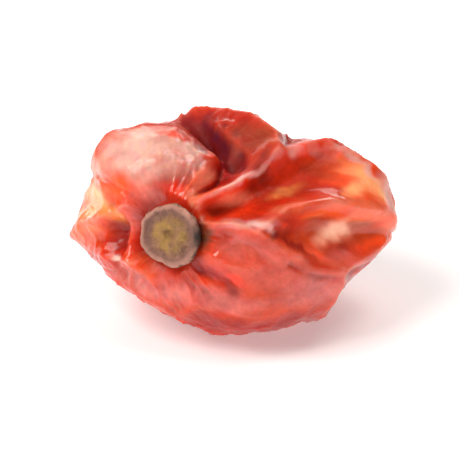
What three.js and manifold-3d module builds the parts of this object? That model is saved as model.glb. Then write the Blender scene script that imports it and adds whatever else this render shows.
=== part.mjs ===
// A dried barberry, lying on its belly on a flat surface.
// The fruit is one shrunken body: its skin sags into hollows between folds that stand up.
// A corky stigma disc sits on its tip and a stub of the stalk on its other end.
// Millimetres, +Z up, +X along the fruit's widest side, the disc looking forward along -Y.

import * as THREE from 'three';
import { mergeVertices } from 'three/addons/utils/BufferGeometryUtils.js';
import Module from 'manifold-3d';

// The fruit before its folds and hollows: half of its width, depth and height.
const fruitHalfSize = new THREE.Vector3(3.42, 2.85, 2.55);
const meanRadius = 3.2;
const bellyDrop = 2.36; // from the middle of the fruit down to the flat that it lies on
const cutterSize = 20;

// Steps of the fruit's grid, round the disc and from the disc to the stalk.
const stepsAround = 60;
const stepsAlong = 46;

// The disc's seat and the stalk's seat are flats across the fruit's axis.
const discTowards = new THREE.Vector3(-0.46, -0.82, 0.33);
const discSeatHeight = 2.8;
const discSeatAngle = 16;
const stalkSeatHeight = 2.7;
const stalkSeatAngle = 11;
const seatBlendAngle = 8;
const seatGap = 0.05;

// How far the folds stray from their drawn lines, and how round their edges are.
const slowStray = { amount: 0.05, waves: 7, turns: 3.1, phase: 0.4 };
const quickStray = { amount: 0.014, waves: 11, turns: 11, phase: 2 };
const wavePhaseStep = 1.7;
const goldenAngle = Math.PI * (3 - Math.sqrt(5));
const foldEdge = 0.02;
const foldBlend = 0.03;
const hollowBlend = 0.05;

// Folds that stand up. Each runs through points given as [clock, reach] in degrees: clock is
// counted clockwise round the disc from its top, reach is the angle away from the disc's axis.
const standingFolds = {
  aboveDisc: { path: [[30, 17], [38, 42], [35, 70], [40, 98], [50, 122]], height: 0.52, width: 0.22 },
  alongBelly: { path: [[58, 17], [68, 31], [77, 43], [88, 60], [94, 83]], height: 0.42, width: 0.3 },
  lensUpperLip: { path: [[75, 42], [64, 59], [66, 79], [74, 97], [82, 117]], height: 0.5, width: 0.3 },
  lensLowerLip: { path: [[94, 83], [89, 101], [82, 117]], height: 0.38, width: 0.36 },
  rightUnderside: { path: [[94, 83], [112, 87], [126, 102]], height: 0.4, width: 0.5 },
  rightShoulder: { path: [[40, 98], [54, 106], [66, 116], [82, 117]], height: 0.4, width: 0.4 },
  topEdge: { path: [[335, 84], [350, 84], [10, 84], [26, 78], [35, 70]], height: 0.5, width: 0.6 },
  leftTipUpper: { path: [[256, 64], [267, 37], [290, 22]], height: 0.34, width: 0.26 },
  leftTipLower: { path: [[256, 64], [238, 32], [215, 20]], height: 0.3, width: 0.26 },
  leftTipBehind: { path: [[256, 64], [262, 95], [275, 125]], height: 0.35, width: 0.36 },
  topLeftBehind: { path: [[330, 80], [318, 100], [300, 128]], height: 0.38, width: 0.36 },
  topBehind: { path: [[10, 86], [5, 115], [340, 140]], height: 0.42, width: 0.36 },
  shoulderBehind: { path: [[50, 122], [30, 145], [340, 140]], height: 0.38, width: 0.38 },
  rightEndToStalk: { path: [[82, 117], [90, 140], [60, 158]], height: 0.4, width: 0.38 },
  leftUnderside: { path: [[262, 95], [240, 118], [225, 145]], height: 0.32, width: 0.42 },
  undersideToStalk: { path: [[125, 118], [150, 135], [190, 150]], height: 0.25, width: 0.5 },
  backToStalk: { path: [[300, 128], [290, 150], [250, 165]], height: 0.32, width: 0.38 },
  leftFlank: { path: [[318, 100], [290, 90], [262, 95]], height: 0.28, width: 0.36 },
};

// Swollen places: a rise of the given height round [clock, reach]. A high power has steep sides.
const swellings = {
  cheekAboveDisc: { at: [318, 45], height: 0.64, size: 1.34, power: 4 },
  belly: { at: [109, 57], height: 0.48, size: 1.9, power: 3 },
  leftTip: { at: [260, 63], height: 0.22, size: 0.8, power: 2 },
  leftCheek: { at: [298, 56], height: 0.36, size: 1, power: 2 },
  rightEnd: { at: [82, 110], height: 0.32, size: 1.3, power: 2 },
  rightShoulder: { at: [64, 107], height: 0.5, size: 1.1, power: 2 },
};

// Hollows: an oval of skin pressed in. Lean turns its long side away from the line to the disc.
const hollows = {
  upperRight: { at: [50, 60], depth: 0.5, halfLength: 2.1, halfWidth: 0.85, lean: 0, power: 2 },
  lens: { at: [82, 78], depth: 0.44, halfLength: 1.6, halfWidth: 0.66, lean: 0, power: 2 },
  darkValley: { at: [359, 61], depth: 0.62, halfLength: 1.65, halfWidth: 0.48, lean: 66, power: 1.6 },
  valleyFloor: { at: [22, 42], depth: 0.42, halfLength: 1.1, halfWidth: 0.5, lean: 0, power: 2 },
  slotBesideDisc: { at: [52, 28], depth: 0.35, halfLength: 0.9, halfWidth: 0.3, lean: 0, power: 1.6 },
  leftOfDisc: { at: [255, 27], depth: 0.3, halfLength: 0.8, halfWidth: 0.45, lean: 90, power: 2 },
  lowLeftFlat: { at: [208, 62], depth: 0.44, halfLength: 1.9, halfWidth: 1.1, lean: 85, power: 2 },
  bellyCrease: { at: [140, 30], depth: 0.22, halfLength: 1.1, halfWidth: 0.35, lean: 25, power: 1.5 },
  behindTopEdge: { at: [15, 108], depth: 0.5, halfLength: 1.3, halfWidth: 0.9, lean: 20, power: 2 },
  backUpperLeft: { at: [310, 112], depth: 0.5, halfLength: 1.3, halfWidth: 0.9, lean: -20, power: 2 },
  backRight: { at: [60, 138], depth: 0.5, halfLength: 1.2, halfWidth: 0.8, lean: 40, power: 2 },
  leftEndLow: { at: [250, 110], depth: 0.45, halfLength: 1.2, halfWidth: 0.8, lean: 10, power: 2 },
  backNearStalk: { at: [320, 145], depth: 0.45, halfLength: 1.2, halfWidth: 0.8, lean: 10, power: 2 },
  rightEndLow: { at: [100, 125], depth: 0.45, halfLength: 1.2, halfWidth: 0.7, lean: 60, power: 2 },
  undersideLeft: { at: [205, 95], depth: 0.3, halfLength: 1.4, halfWidth: 0.6, lean: 80, power: 2 },
  undersideRight: { at: [155, 110], depth: 0.3, halfLength: 1.4, halfWidth: 0.7, lean: 60, power: 2 },
};
const beyondHollow = 9; // stands for a distance that is well outside every hollow

// The corky stigma disc, as half of its section: radius, height.
const discRadius = 0.82;
const discSides = 40;
const discSection = [[0, 0], [0.66, 0], [0.79, 0.07], [discRadius, 0.17], [0.79, 0.27], [0.71, 0.32],
  [0.61, 0.29], [0.53, 0.22], [0.34, 0.19], [0.17, 0.21], [0.09, 0.15], [0, 0.13]];

// The stub of the stalk, as half of its section: radius, height.
const stubSides = 24;
const stubSection = [[0, 0], [0.42, 0], [0.36, 0.12], [0.29, 0.26], [0.28, 0.42], [0.33, 0.52],
  [0.28, 0.58], [0.15, 0.54], [0, 0.55]];

const discAxis = discTowards.clone().normalize();
const discRight = new THREE.Vector3(0, 0, 1).cross(discAxis).normalize();
const discUp = new THREE.Vector3().crossVectors(discAxis, discRight);

const radians = THREE.MathUtils.degToRad;

// The direction from the middle of the fruit to a place given by clock and reach in degrees.
function directionTo([clock, reach]) {
  const direction = discAxis.clone().multiplyScalar(Math.cos(radians(reach)));
  direction.addScaledVector(discUp, Math.sin(radians(reach)) * Math.cos(radians(clock)));
  direction.addScaledVector(discRight, Math.sin(radians(reach)) * Math.sin(radians(clock)));
  return direction;
}

// The smaller of two values, rounded where they cross.
function softMin(first, second, rounding) {
  const least = Math.min(first, second);
  const sum = Math.exp((least - first) / rounding) + Math.exp((least - second) / rounding);
  return least - rounding * Math.log(sum);
}

// One of count directions spread evenly over a ball by the golden angle.
function spreadDirection(index, count, phase) {
  const height = 1 - (2 * (index + 0.5)) / count;
  const angle = goldenAngle * index + phase;
  const across = Math.sqrt(1 - height * height);
  return new THREE.Vector3(across * Math.cos(angle), across * Math.sin(angle), height);
}

// A smooth, irregular push: sine waves along spread directions, each pushing along the one before.
function strayPush(direction, { amount, waves, turns, phase }) {
  const push = new THREE.Vector3();
  for (let index = 0; index < waves; index += 1) {
    const along = direction.dot(spreadDirection(index, waves, phase));
    const wave = Math.sin(along * turns + wavePhaseStep * index + phase);
    const before = spreadDirection((index + waves - 1) % waves, waves, phase);
    push.addScaledVector(before, (wave * amount) / Math.sqrt(waves));
  }
  return push;
}

// How far a direction is from a drawn line, as a distance on a ball of the mean radius.
function distanceToPath(direction, path) {
  const points = path.map(directionTo);
  const nearest = new THREE.Vector3();
  let distance = Infinity;
  for (let index = 1; index < points.length; index += 1) {
    const stretch = new THREE.Line3(points[index - 1], points[index]);
    stretch.closestPointToPoint(direction, true, nearest);
    distance = Math.min(distance, nearest.distanceTo(direction));
  }
  return distance * meanRadius;
}

// The height of the folds: each falls away from its line as exp(-distance / width).
function foldHeight(direction) {
  return Object.values(standingFolds).reduce((highest, { path, height, width }) => {
    const rounded = Math.hypot(distanceToPath(direction, path), foldEdge) - foldEdge;
    return -softMin(-highest, -height * Math.exp(-rounded / width), foldBlend);
  }, 0);
}

// The height of the swollen places: each is height * exp(-(distance / size) ** power).
function swellHeight(direction) {
  return Object.values(swellings).reduce((sum, { at, height, size, power }) => {
    const distance = direction.distanceTo(directionTo(at)) * meanRadius;
    return sum + height * Math.exp(-((distance / size) ** power));
  }, 0);
}

// Presses each hollow into the surface: depth * (1 - distance ** power) inside its oval.
function pressHollows(direction, height) {
  return Object.values(hollows).reduce((surface, { at, depth, halfLength, halfWidth, lean, power }) => {
    const middle = directionTo(at);
    const outward = middle.clone().multiplyScalar(middle.dot(discAxis)).sub(discAxis).normalize();
    const across = new THREE.Vector3().crossVectors(middle, outward);
    const longSide = outward.clone().applyAxisAngle(middle, radians(lean));
    const shortSide = across.applyAxisAngle(middle, radians(lean));
    const faces = direction.dot(middle) > 0;
    const distance = meanRadius * Math.hypot(
      direction.dot(longSide) / halfLength,
      direction.dot(shortSide) / halfWidth,
    );
    const pressed = height - depth * (1 - (faces ? distance : beyondHollow) ** power);
    return softMin(surface, pressed, hollowBlend);
  }, height);
}

// The distance from the middle of the fruit to its skin.
function skinRadius(direction) {
  const strayed = direction.clone();
  strayed.add(strayPush(direction, slowStray));
  strayed.add(strayPush(direction, quickStray));
  strayed.normalize();
  const plump = 1 / direction.clone().divide(fruitHalfSize).length();
  const skin = plump + pressHollows(strayed, swellHeight(strayed) + foldHeight(strayed));
  const reach = THREE.MathUtils.radToDeg(direction.angleTo(discAxis));
  const discSeat = discSeatHeight / Math.abs(direction.dot(discAxis));
  const stalkSeat = stalkSeatHeight / Math.abs(direction.dot(discAxis));
  const offDisc = THREE.MathUtils.smoothstep(reach, discSeatAngle, discSeatAngle + seatBlendAngle);
  const offStalk = THREE.MathUtils.smoothstep(180 - reach, stalkSeatAngle, stalkSeatAngle + seatBlendAngle);
  if (offDisc < 1) return THREE.MathUtils.lerp(discSeat, skin, offDisc);
  if (offStalk < 1) return THREE.MathUtils.lerp(stalkSeat, skin, offStalk);
  return skin;
}

// A ball whose poles lie on the fruit's axis, each point moved out or in to the skin.
function skinGeometry() {
  const geometry = new THREE.SphereGeometry(1, stepsAround, stepsAlong);
  const side = new THREE.Vector3().crossVectors(discAxis, discUp);
  geometry.applyMatrix4(new THREE.Matrix4().makeBasis(side, discAxis, discUp));
  const points = geometry.attributes.position;
  const point = new THREE.Vector3();
  for (let index = 0; index < points.count; index += 1) {
    point.fromBufferAttribute(points, index).normalize();
    point.multiplyScalar(skinRadius(point));
    points.setXYZ(index, point.x, point.y, point.z);
  }
  return geometry;
}

const wasm = await Module();
wasm.setup();

// A closed geometry as a solid that can be cut.
function solidFrom(geometry) {
  geometry.deleteAttribute('normal');
  geometry.deleteAttribute('uv');
  const merged = mergeVertices(geometry);
  return new wasm.Manifold(new wasm.Mesh({
    numProp: 3,
    vertProperties: new Float32Array(merged.attributes.position.array),
    triVerts: new Uint32Array(merged.index.array),
  }));
}

// A solid as a geometry that a mesh can show.
function geometryFrom(solid) {
  const mesh = solid.getMesh();
  const geometry = new THREE.BufferGeometry();
  geometry.setAttribute('position', new THREE.BufferAttribute(mesh.vertProperties, 3));
  geometry.setIndex(new THREE.BufferAttribute(mesh.triVerts, 1));
  geometry.computeVertexNormals();
  return geometry;
}

// The fruit, with what lies below the flat cut away.
function fruitBody() {
  const below = new THREE.BoxGeometry(cutterSize, cutterSize, cutterSize);
  below.translate(0, 0, -bellyDrop - cutterSize / 2);
  const cut = solidFrom(skinGeometry()).subtract(solidFrom(below));
  const material = new THREE.MeshStandardMaterial({ color: 0xb8200c, roughness: 0.3, metalness: 0 });
  const mesh = new THREE.Mesh(geometryFrom(cut), material);
  mesh.name = 'berry_body';
  return mesh;
}

// A turned piece that stands on a seat of the fruit, its section's height along the axis.
function turnedPiece(name, section, sides, color, axis, seatHeight) {
  const outline = section.map(([radius, height]) => new THREE.Vector2(radius, height));
  const material = new THREE.MeshStandardMaterial({ color, roughness: 0.85, metalness: 0 });
  const mesh = new THREE.Mesh(new THREE.LatheGeometry(outline, sides), material);
  mesh.name = name;
  mesh.quaternion.setFromUnitVectors(new THREE.Vector3(0, 1, 0), axis);
  mesh.position.copy(axis).multiplyScalar(seatHeight + seatGap);
  return mesh;
}

const stigmaDisc = turnedPiece('stigma_disc', discSection, discSides, 0x6b5236, discAxis, discSeatHeight);
const stalkAxis = discAxis.clone().negate();
const stalkStub = turnedPiece('stalk_stub', stubSection, stubSides, 0x5a4028, stalkAxis, stalkSeatHeight);

const berry = new THREE.Group();
berry.add(fruitBody(), stigmaDisc, stalkStub);

// The origin is under the middle of the whole berry, on the surface that it lies on.
const bounds = new THREE.Box3().setFromObject(berry, true);
const middle = bounds.getCenter(new THREE.Vector3());
berry.position.set(-middle.x, -middle.y, -bounds.min.z);

export default berry;
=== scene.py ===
import bpy
import numpy as np
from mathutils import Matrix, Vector


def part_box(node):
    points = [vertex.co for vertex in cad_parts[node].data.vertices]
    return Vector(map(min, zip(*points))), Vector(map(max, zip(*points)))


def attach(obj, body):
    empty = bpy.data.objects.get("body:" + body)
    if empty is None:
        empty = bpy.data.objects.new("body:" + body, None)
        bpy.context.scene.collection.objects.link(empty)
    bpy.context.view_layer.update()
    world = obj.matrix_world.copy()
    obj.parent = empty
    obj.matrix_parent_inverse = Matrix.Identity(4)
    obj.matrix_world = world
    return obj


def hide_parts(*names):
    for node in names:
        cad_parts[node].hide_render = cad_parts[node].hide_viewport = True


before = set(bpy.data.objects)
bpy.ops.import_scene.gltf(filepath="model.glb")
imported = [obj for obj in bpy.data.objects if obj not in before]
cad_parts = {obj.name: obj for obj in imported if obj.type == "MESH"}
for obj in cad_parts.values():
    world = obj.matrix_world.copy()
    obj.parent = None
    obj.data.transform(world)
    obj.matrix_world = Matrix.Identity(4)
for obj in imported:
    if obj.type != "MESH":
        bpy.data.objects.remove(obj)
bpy.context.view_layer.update()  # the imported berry: berry_body, stigma_disc and stalk_stub
print("frame loaded")

mm = 0.001
goldenAngle = np.pi * (3 - np.sqrt(5))
waveStep = 1.7  # how much later each wave of a sum starts than the last
farAway = 9.0  # further than any two places on the fruit, in millimetres
tiny = 1e-9  # added where a length could be nothing

# The shape of the fruit is worked out in millimetres from its middle. Places on the fruit
# are given as (clock, reach) in degrees: clock is counted clockwise round the disc from its
# top, reach is the angle away from the disc's axis
fruit = {
    "halfSize": (3.42, 2.85, 2.55),  # of the plump ball: width, depth and height
    "meanRadius": 3.2,
    "bellyDrop": 2.36,  # from the middle down to the flat that it lies on
    "bellyRound": 0.02,  # how softly the belly turns into that flat
    "discTowards": (-0.46, -0.82, 0.33),
    "discSeat": (2.8, 16),  # height of the flat under the disc, and its angle
    "stalkSeat": (2.7, 11),
    "seatBlend": 8,  # degrees over which a seat turns into the skin
    "leastCosine": 0.1,  # keeps a seat's plane from running off at its side
    "slowStray": {"amount": 0.05, "waves": 7, "turns": 3.1, "phase": 0.4},
    "quickStray": {"amount": 0.014, "waves": 11, "turns": 11.0, "phase": 2.0},
    "foldEdge": 0.02,  # how round the crest of a fold is
    "foldBlend": 0.03,  # how softly folds run together
    "hollowBlend": 0.05,  # how softly hollows run together
    "rows": 266,
    "columns": 360,
}

# standing folds: the line of each, its height and its width
standingFolds = {
    "aboveDisc": ([(30, 17), (38, 42), (35, 70), (40, 98), (50, 122)], 0.52, 0.22),
    "alongBelly": ([(58, 17), (68, 31), (77, 43), (88, 60), (94, 83)], 0.42, 0.30),
    "lensUpperLip": ([(75, 42), (64, 59), (66, 79), (74, 97), (82, 117)], 0.50, 0.30),
    "lensLowerLip": ([(94, 83), (89, 101), (82, 117)], 0.38, 0.36),
    "rightUnderside": ([(94, 83), (112, 87), (126, 102)], 0.40, 0.50),
    "rightShoulder": ([(40, 98), (54, 106), (66, 116), (82, 117)], 0.40, 0.40),
    "topEdge": ([(335, 84), (350, 84), (10, 84), (26, 78), (35, 70)], 0.50, 0.60),
    "leftTipUpper": ([(256, 64), (267, 37), (290, 22)], 0.34, 0.26),
    "leftTipLower": ([(256, 64), (238, 32), (215, 20)], 0.30, 0.26),
    "leftTipBehind": ([(256, 64), (262, 95), (275, 125)], 0.35, 0.36),
    "topLeftBehind": ([(330, 80), (318, 100), (300, 128)], 0.38, 0.36),
    "topBehind": ([(10, 86), (5, 115), (340, 140)], 0.42, 0.36),
    "shoulderBehind": ([(50, 122), (30, 145), (340, 140)], 0.38, 0.38),
    "rightEndToStalk": ([(82, 117), (90, 140), (60, 158)], 0.40, 0.38),
    "leftUnderside": ([(262, 95), (240, 118), (225, 145)], 0.32, 0.42),
    "undersideToStalk": ([(125, 118), (150, 135), (190, 150)], 0.25, 0.50),
    "backToStalk": ([(300, 128), (290, 150), (250, 165)], 0.32, 0.38),
    "leftFlank": ([(318, 100), (290, 90), (262, 95)], 0.28, 0.36),
}

# swollen places: where, height, size, power
swellings = {
    "cheekAboveDisc": ((318, 45), 0.64, 1.34, 4),
    "belly": ((109, 57), 0.48, 1.90, 3),
    "leftTip": ((260, 63), 0.22, 0.80, 2),
    "leftCheek": ((298, 56), 0.36, 1.00, 2),
    "rightEnd": ((82, 110), 0.32, 1.30, 2),
    "rightShoulder": ((64, 107), 0.50, 1.10, 2),
}

# hollows: where, depth, half length, half width, lean away from the line to the disc, power
hollows = {
    "upperRight": ((50, 60), 0.50, 2.10, 0.85, 0, 2.0),
    "lens": ((82, 78), 0.44, 1.60, 0.66, 0, 2.0),
    "darkValley": ((359, 61), 0.62, 1.65, 0.48, 66, 1.6),
    "valleyFloor": ((22, 42), 0.42, 1.10, 0.50, 0, 2.0),
    "slotBesideDisc": ((52, 28), 0.35, 0.90, 0.30, 0, 1.6),
    "leftOfDisc": ((255, 27), 0.30, 0.80, 0.45, 90, 2.0),
    "lowLeftFlat": ((208, 62), 0.44, 1.90, 1.10, 85, 2.0),
    "bellyCrease": ((140, 30), 0.22, 1.10, 0.35, 25, 1.5),
    "behindTopEdge": ((15, 108), 0.50, 1.30, 0.90, 20, 2.0),
    "backUpperLeft": ((310, 112), 0.50, 1.30, 0.90, -20, 2.0),
    "backRight": ((60, 138), 0.50, 1.20, 0.80, 40, 2.0),
    "leftEndLow": ((250, 110), 0.45, 1.20, 0.80, 10, 2.0),
    "backNearStalk": ((320, 145), 0.45, 1.20, 0.80, 10, 2.0),
    "rightEndLow": ((100, 125), 0.45, 1.20, 0.70, 60, 2.0),
    "undersideLeft": ((205, 95), 0.30, 1.40, 0.60, 80, 2.0),
    "undersideRight": ((155, 110), 0.30, 1.40, 0.70, 60, 2.0),
}


def unit(vectors):
    # each vector divided by its own length
    vectors = np.asarray(vectors, dtype=float)
    return vectors / np.linalg.norm(vectors, axis=-1, keepdims=True)


discAxis = unit(fruit["discTowards"])
discRight = unit(np.cross((0, 0, 1), discAxis))
discUp = np.cross(discAxis, discRight)


def directionTo(clock, reach):
    # cos(reach) * axis + sin(reach) * (cos(clock) * up + sin(clock) * right)
    clock, reach = np.broadcast_arrays(np.radians(clock), np.radians(reach))
    clock, reach = clock[..., None], reach[..., None]
    around = np.cos(clock) * discUp + np.sin(clock) * discRight
    return np.cos(reach) * discAxis + np.sin(reach) * around


def softMin(first, second, rounding):
    # the smaller of two fields, rounded where they cross:
    # least - rounding * log(exp((least - first) / rounding) + exp((least - second) / rounding))
    least = np.minimum(first, second)
    shares = np.exp((least - first) / rounding) + np.exp((least - second) / rounding)
    return least - rounding * np.log(shares)


def waviness(angle, waves):
    # sum of share * sin(lobes * angle + shift)
    return sum(share * np.sin(lobes * angle + shift) for lobes, shift, share in waves)


def spreadDirections(count, phase):
    # directions spread evenly over a ball: equal steps of height, turned by the golden angle
    index = np.arange(count)
    height = 1 - 2 * (index + 0.5) / count
    angle = goldenAngle * index + phase
    across = np.sqrt(1 - height * height)
    return np.stack([across * np.cos(angle), across * np.sin(angle), height], axis=-1)


def strayPush(directions, amount, waves, turns, phase):
    # sum of sin(turns * (direction . spread) + waveStep * index + phase), each wave pushing
    # along the spread direction before its own
    spread = spreadDirections(waves, phase)
    wave = np.sin(directions @ spread.T * turns + waveStep * np.arange(waves) + phase)
    return wave @ np.roll(spread, 1, axis=0) * amount / np.sqrt(waves)


def distanceToPath(directions, path):
    # least distance to the straight stretches between the path's points, on the mean ball
    points = directionTo(*np.array(path, dtype=float).T)
    nearest = np.full(directions.shape[:-1], np.inf)
    for start, end in zip(points[:-1], points[1:]):
        along = end - start
        share = np.clip((directions - start) @ along / (along @ along), 0, 1)
        gap = directions - start - share[..., None] * along
        nearest = np.minimum(nearest, np.linalg.norm(gap, axis=-1))
    return nearest * fruit["meanRadius"]


def foldHeight(directions):
    # the highest of height * exp(-distance / width) over the folds, its edge rounded
    highest = np.zeros(directions.shape[:-1])
    for path, height, width in standingFolds.values():
        rounded = np.hypot(distanceToPath(directions, path), fruit["foldEdge"]) - fruit["foldEdge"]
        highest = -softMin(-highest, -height * np.exp(-rounded / width), fruit["foldBlend"])
    return highest


def swellHeight(directions):
    # sum of height * exp(-(distance / size) ** power)
    total = np.zeros(directions.shape[:-1])
    for place, height, size, power in swellings.values():
        distance = np.linalg.norm(directions - directionTo(*place), axis=-1) * fruit["meanRadius"]
        total = total + height * np.exp(-(distance / size) ** power)
    return total


def ovalDistance(directions, place, halfLength, halfWidth, lean):
    # 1 on the rim of an oval whose long side leans away from the line to the disc
    middle = directionTo(*place)
    outward = unit(middle * (middle @ discAxis) - discAxis)
    across = np.cross(middle, outward)
    turn = np.radians(lean)
    longSide = outward * np.cos(turn) + across * np.sin(turn)
    shortSide = across * np.cos(turn) - outward * np.sin(turn)
    distance = np.hypot(directions @ longSide / halfLength, directions @ shortSide / halfWidth)
    return np.where(directions @ middle > 0, distance * fruit["meanRadius"], farAway)


def pressHollows(directions, surface):
    # the surface or surface - depth * (1 - distance ** power), whichever is lower
    for place, depth, halfLength, halfWidth, lean, power in hollows.values():
        distance = ovalDistance(directions, place, halfLength, halfWidth, lean)
        surface = softMin(surface, surface - depth * (1 - distance ** power), fruit["hollowBlend"])
    return surface


# fine relief of the dried skin, which the plain solid leaves out
relief = {
    "largeDishes": {"count": 90, "stretch": 1.8, "phase": 0.3, "depth": 0.020},
    "smallDishes": {"count": 320, "stretch": 2.4, "phase": 1.3, "depth": 0.010},
    "dishStray": {"amount": 0.05, "waves": 9, "turns": 6.0, "phase": 5.0},
    "dishKinks": {"amount": 0.012, "waves": 11, "turns": 21.0, "phase": 7.0},
    "dishCap": 4,
    "dishScatter": {"waves": 5, "turns": 9.0},  # how unevenly the dishes are spread
    "scatterShare": 0.8,
    "dishTurn": 2.4,  # how far each dish is turned from the one before it
    "dishLevel": (0.1, 0.3, 1.0),  # the direction that the turn is counted from
    # wrinkles of three sizes: how close, how high, how far drawn out from end to end
    "wrinkles": [{"turns": 17, "height": 0.045, "stretch": 1.7, "phase": 2.2},
                 {"turns": 36, "height": 0.026, "stretch": 1.5, "phase": 6.1},
                 {"turns": 78, "height": 0.010, "stretch": 1.2, "phase": 9.4}],
    "wrinkleWaves": 19,
    "wrinkleLevel": 3,  # the wave that ends a wrinkle: more makes them wider
    # smoother places: where, half length, half width, lean, how much smoother
    "calmPlaces": [((110, 46), 1.9, 1.4, 0, 0.60), ((328, 38), 1.2, 0.9, 0, 0.65),
                   ((18, 70), 0.9, 0.7, 0, 0.70), ((50, 45), 1.2, 0.6, 0, 0.60),
                   ((54, 80), 1.2, 0.7, 0, 0.50), ((78, 80), 1.2, 0.6, 0, 0.60)],
    # places with less gloss: where, half length, half width, lean, how much less
    "dullPlaces": [((359, 61), 1.8, 0.62, 66, 0.95), ((342, 74), 0.8, 0.6, 0, 0.95),
                   ((320, 45), 1.3, 1.1, 0, 0.40), ((252, 27), 0.8, 0.5, 0, 0.50),
                   ((178, 19), 0.6, 0.4, 90, 0.85), ((190, 60), 2.5, 1.2, 90, 0.60),
                   ((22, 42), 1.1, 0.6, 0, 0.80), ((50, 50), 1.5, 0.62, 0, 0.85),
                   ((46, 80), 1.3, 0.70, 0, 0.95), ((60, 107), 1.3, 0.8, -50, 0.75),
                   ((296, 27), 0.8, 0.5, 30, 0.60), ((74, 60), 0.9, 0.5, 0, 0.95),
                   ((18, 70), 1.1, 0.8, 0, 0.50), ((105, 70), 1.6, 0.9, 0, 0.45),
                   ((130, 45), 2.2, 0.9, 40, 0.50)],
    "patchEdge": (0.5, 1.3),  # a patch fades between these oval distances
    # narrow creases: the line of each, its depth and its width
    "creases": [([(122, 17), (125, 24), (121, 30), (118, 36), (120, 41)], 0.24, 0.25),
                ([(66, 45), (72, 60), (73, 78), (79, 100)], 0.07, 0.07),
                ([(92, 58), (97, 72), (98, 88), (94, 104)], 0.08, 0.08),
                ([(300, 24), (292, 40), (284, 58)], 0.08, 0.07),
                ([(20, 22), (24, 34), (14, 48), (2, 58), (350, 68)], 0.10, 0.08)],
    "gathers": 13,  # pairs of small folds round the disc and round the stalk
    "gatherDepth": 0.045,
    "gatherReach": (24, 12),  # degrees from the disc to their middle, and their spread
    "gatherSway": [(2, 0.7, 1.5), (5, 0.0, 0.9)],  # lobes, shift and share
    "gatherLeast": 0.6,  # some gathers are lower than others
    "gatherBeat": [(3, 1.0, 0.4)],
    "settle": 0.035,  # taken off all round: the relief goes as much in as out
    # the lighter line is paler skin and a painted highlight
    "crestHighlightWidth": 0.045,  # of the lighter line along each standing fold
}


def wrinkleHeight(directions, turns, height, stretch, phase):
    # height * (1 - |wave|) ** 2 where |wave| < 1: sharp crests along the lines where the
    # wave is zero. The wave is a sum of sines along spread directions, over the wrinkle
    # level, and stretch draws it out from end to end
    count = relief["wrinkleWaves"]
    along = (directions @ discAxis)[..., None] * discAxis
    place = (directions - along * (1 - 1 / stretch)) @ spreadDirections(count, phase).T
    wave = np.sin(place * turns + waveStep * np.arange(count) + phase).sum(axis=-1)
    return height * np.clip(1 - np.abs(wave / relief["wrinkleLevel"]), 0, 1) ** 2


def dishes(directions, count, stretch, phase, depth):
    # depth * count * (distance to the nearest of count middles) ** 2: dished cells that meet
    # in sharp edges. Each cell is drawn out along its own direction by stretch
    middles = spreadDirections(count, phase)
    scatter = strayPush(middles, relief["scatterShare"] / np.sqrt(count), phase=phase,
                        **relief["dishScatter"])
    middles = unit(middles + scatter)
    nearest = np.full(directions.shape[:-1], np.inf)
    for index, middle in enumerate(middles):
        level = unit(np.cross(relief["dishLevel"], middle))
        turn = relief["dishTurn"] * index + phase
        drawn = level * np.cos(turn) + np.cross(middle, level) * np.sin(turn)
        gap = directions - middle
        square = np.sum(gap * gap, axis=-1) - (1 - stretch ** -2) * (gap @ drawn) ** 2
        nearest = np.minimum(nearest, square)
    return depth * np.minimum(nearest * count, relief["dishCap"])


def patchShare(directions, patches):
    # the greatest of share * (1 - smoothstep of the oval distance over the patch edge)
    highest = np.zeros(directions.shape[:-1])
    for place, halfLength, halfWidth, lean, share in patches:
        distance = ovalDistance(directions, place, halfLength, halfWidth, lean)
        highest = np.maximum(highest, share * (1 - smoothStep(distance, *relief["patchEdge"])))
    return highest


def smoothStep(values, low, high):
    # 0 below low, 1 above high, 3 * share ** 2 - 2 * share ** 3 between
    share = np.clip((values - low) / (high - low), 0, 1)
    return share * share * (3 - 2 * share)


def gatherHeight(directions):
    # small folds that run from each end of the fruit: depth * (least + beat)
    # * (1 - |sin(gathers * clock + sway)|) ** 2 * exp(-((reach - middle) / spread) ** 2)
    upward, rightward = directions @ discUp, directions @ discRight
    clock = np.arctan2(rightward, upward)
    sway = waviness(clock, relief["gatherSway"])
    fold = (1 - np.abs(np.sin(relief["gathers"] * clock + sway))) ** 2
    fold = fold * (relief["gatherLeast"] + waviness(clock, relief["gatherBeat"]))
    reach = np.degrees(np.arccos(np.clip(directions @ discAxis, -1, 1)))
    middle, spread = relief["gatherReach"]
    window = sum(np.exp(-((away - middle) / spread) ** 2) for away in (reach, 180 - reach))
    return relief["gatherDepth"] * fold * window


def creaseDepth(directions):
    # the greatest of depth * exp(-(distance / width) ** 2) over the creases
    deepest = np.zeros(directions.shape[:-1])
    for path, depth, width in relief["creases"]:
        distance = distanceToPath(directions, path)
        deepest = np.maximum(deepest, depth * np.exp(-(distance / width) ** 2))
    return deepest


def strayedDirections(directions):
    # pushed a little by slow and quick waves, so that folds and hollows waver
    strayed = directions + strayPush(directions, **fruit["slowStray"])
    return unit(strayed + strayPush(directions, **fruit["quickStray"]))


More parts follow.
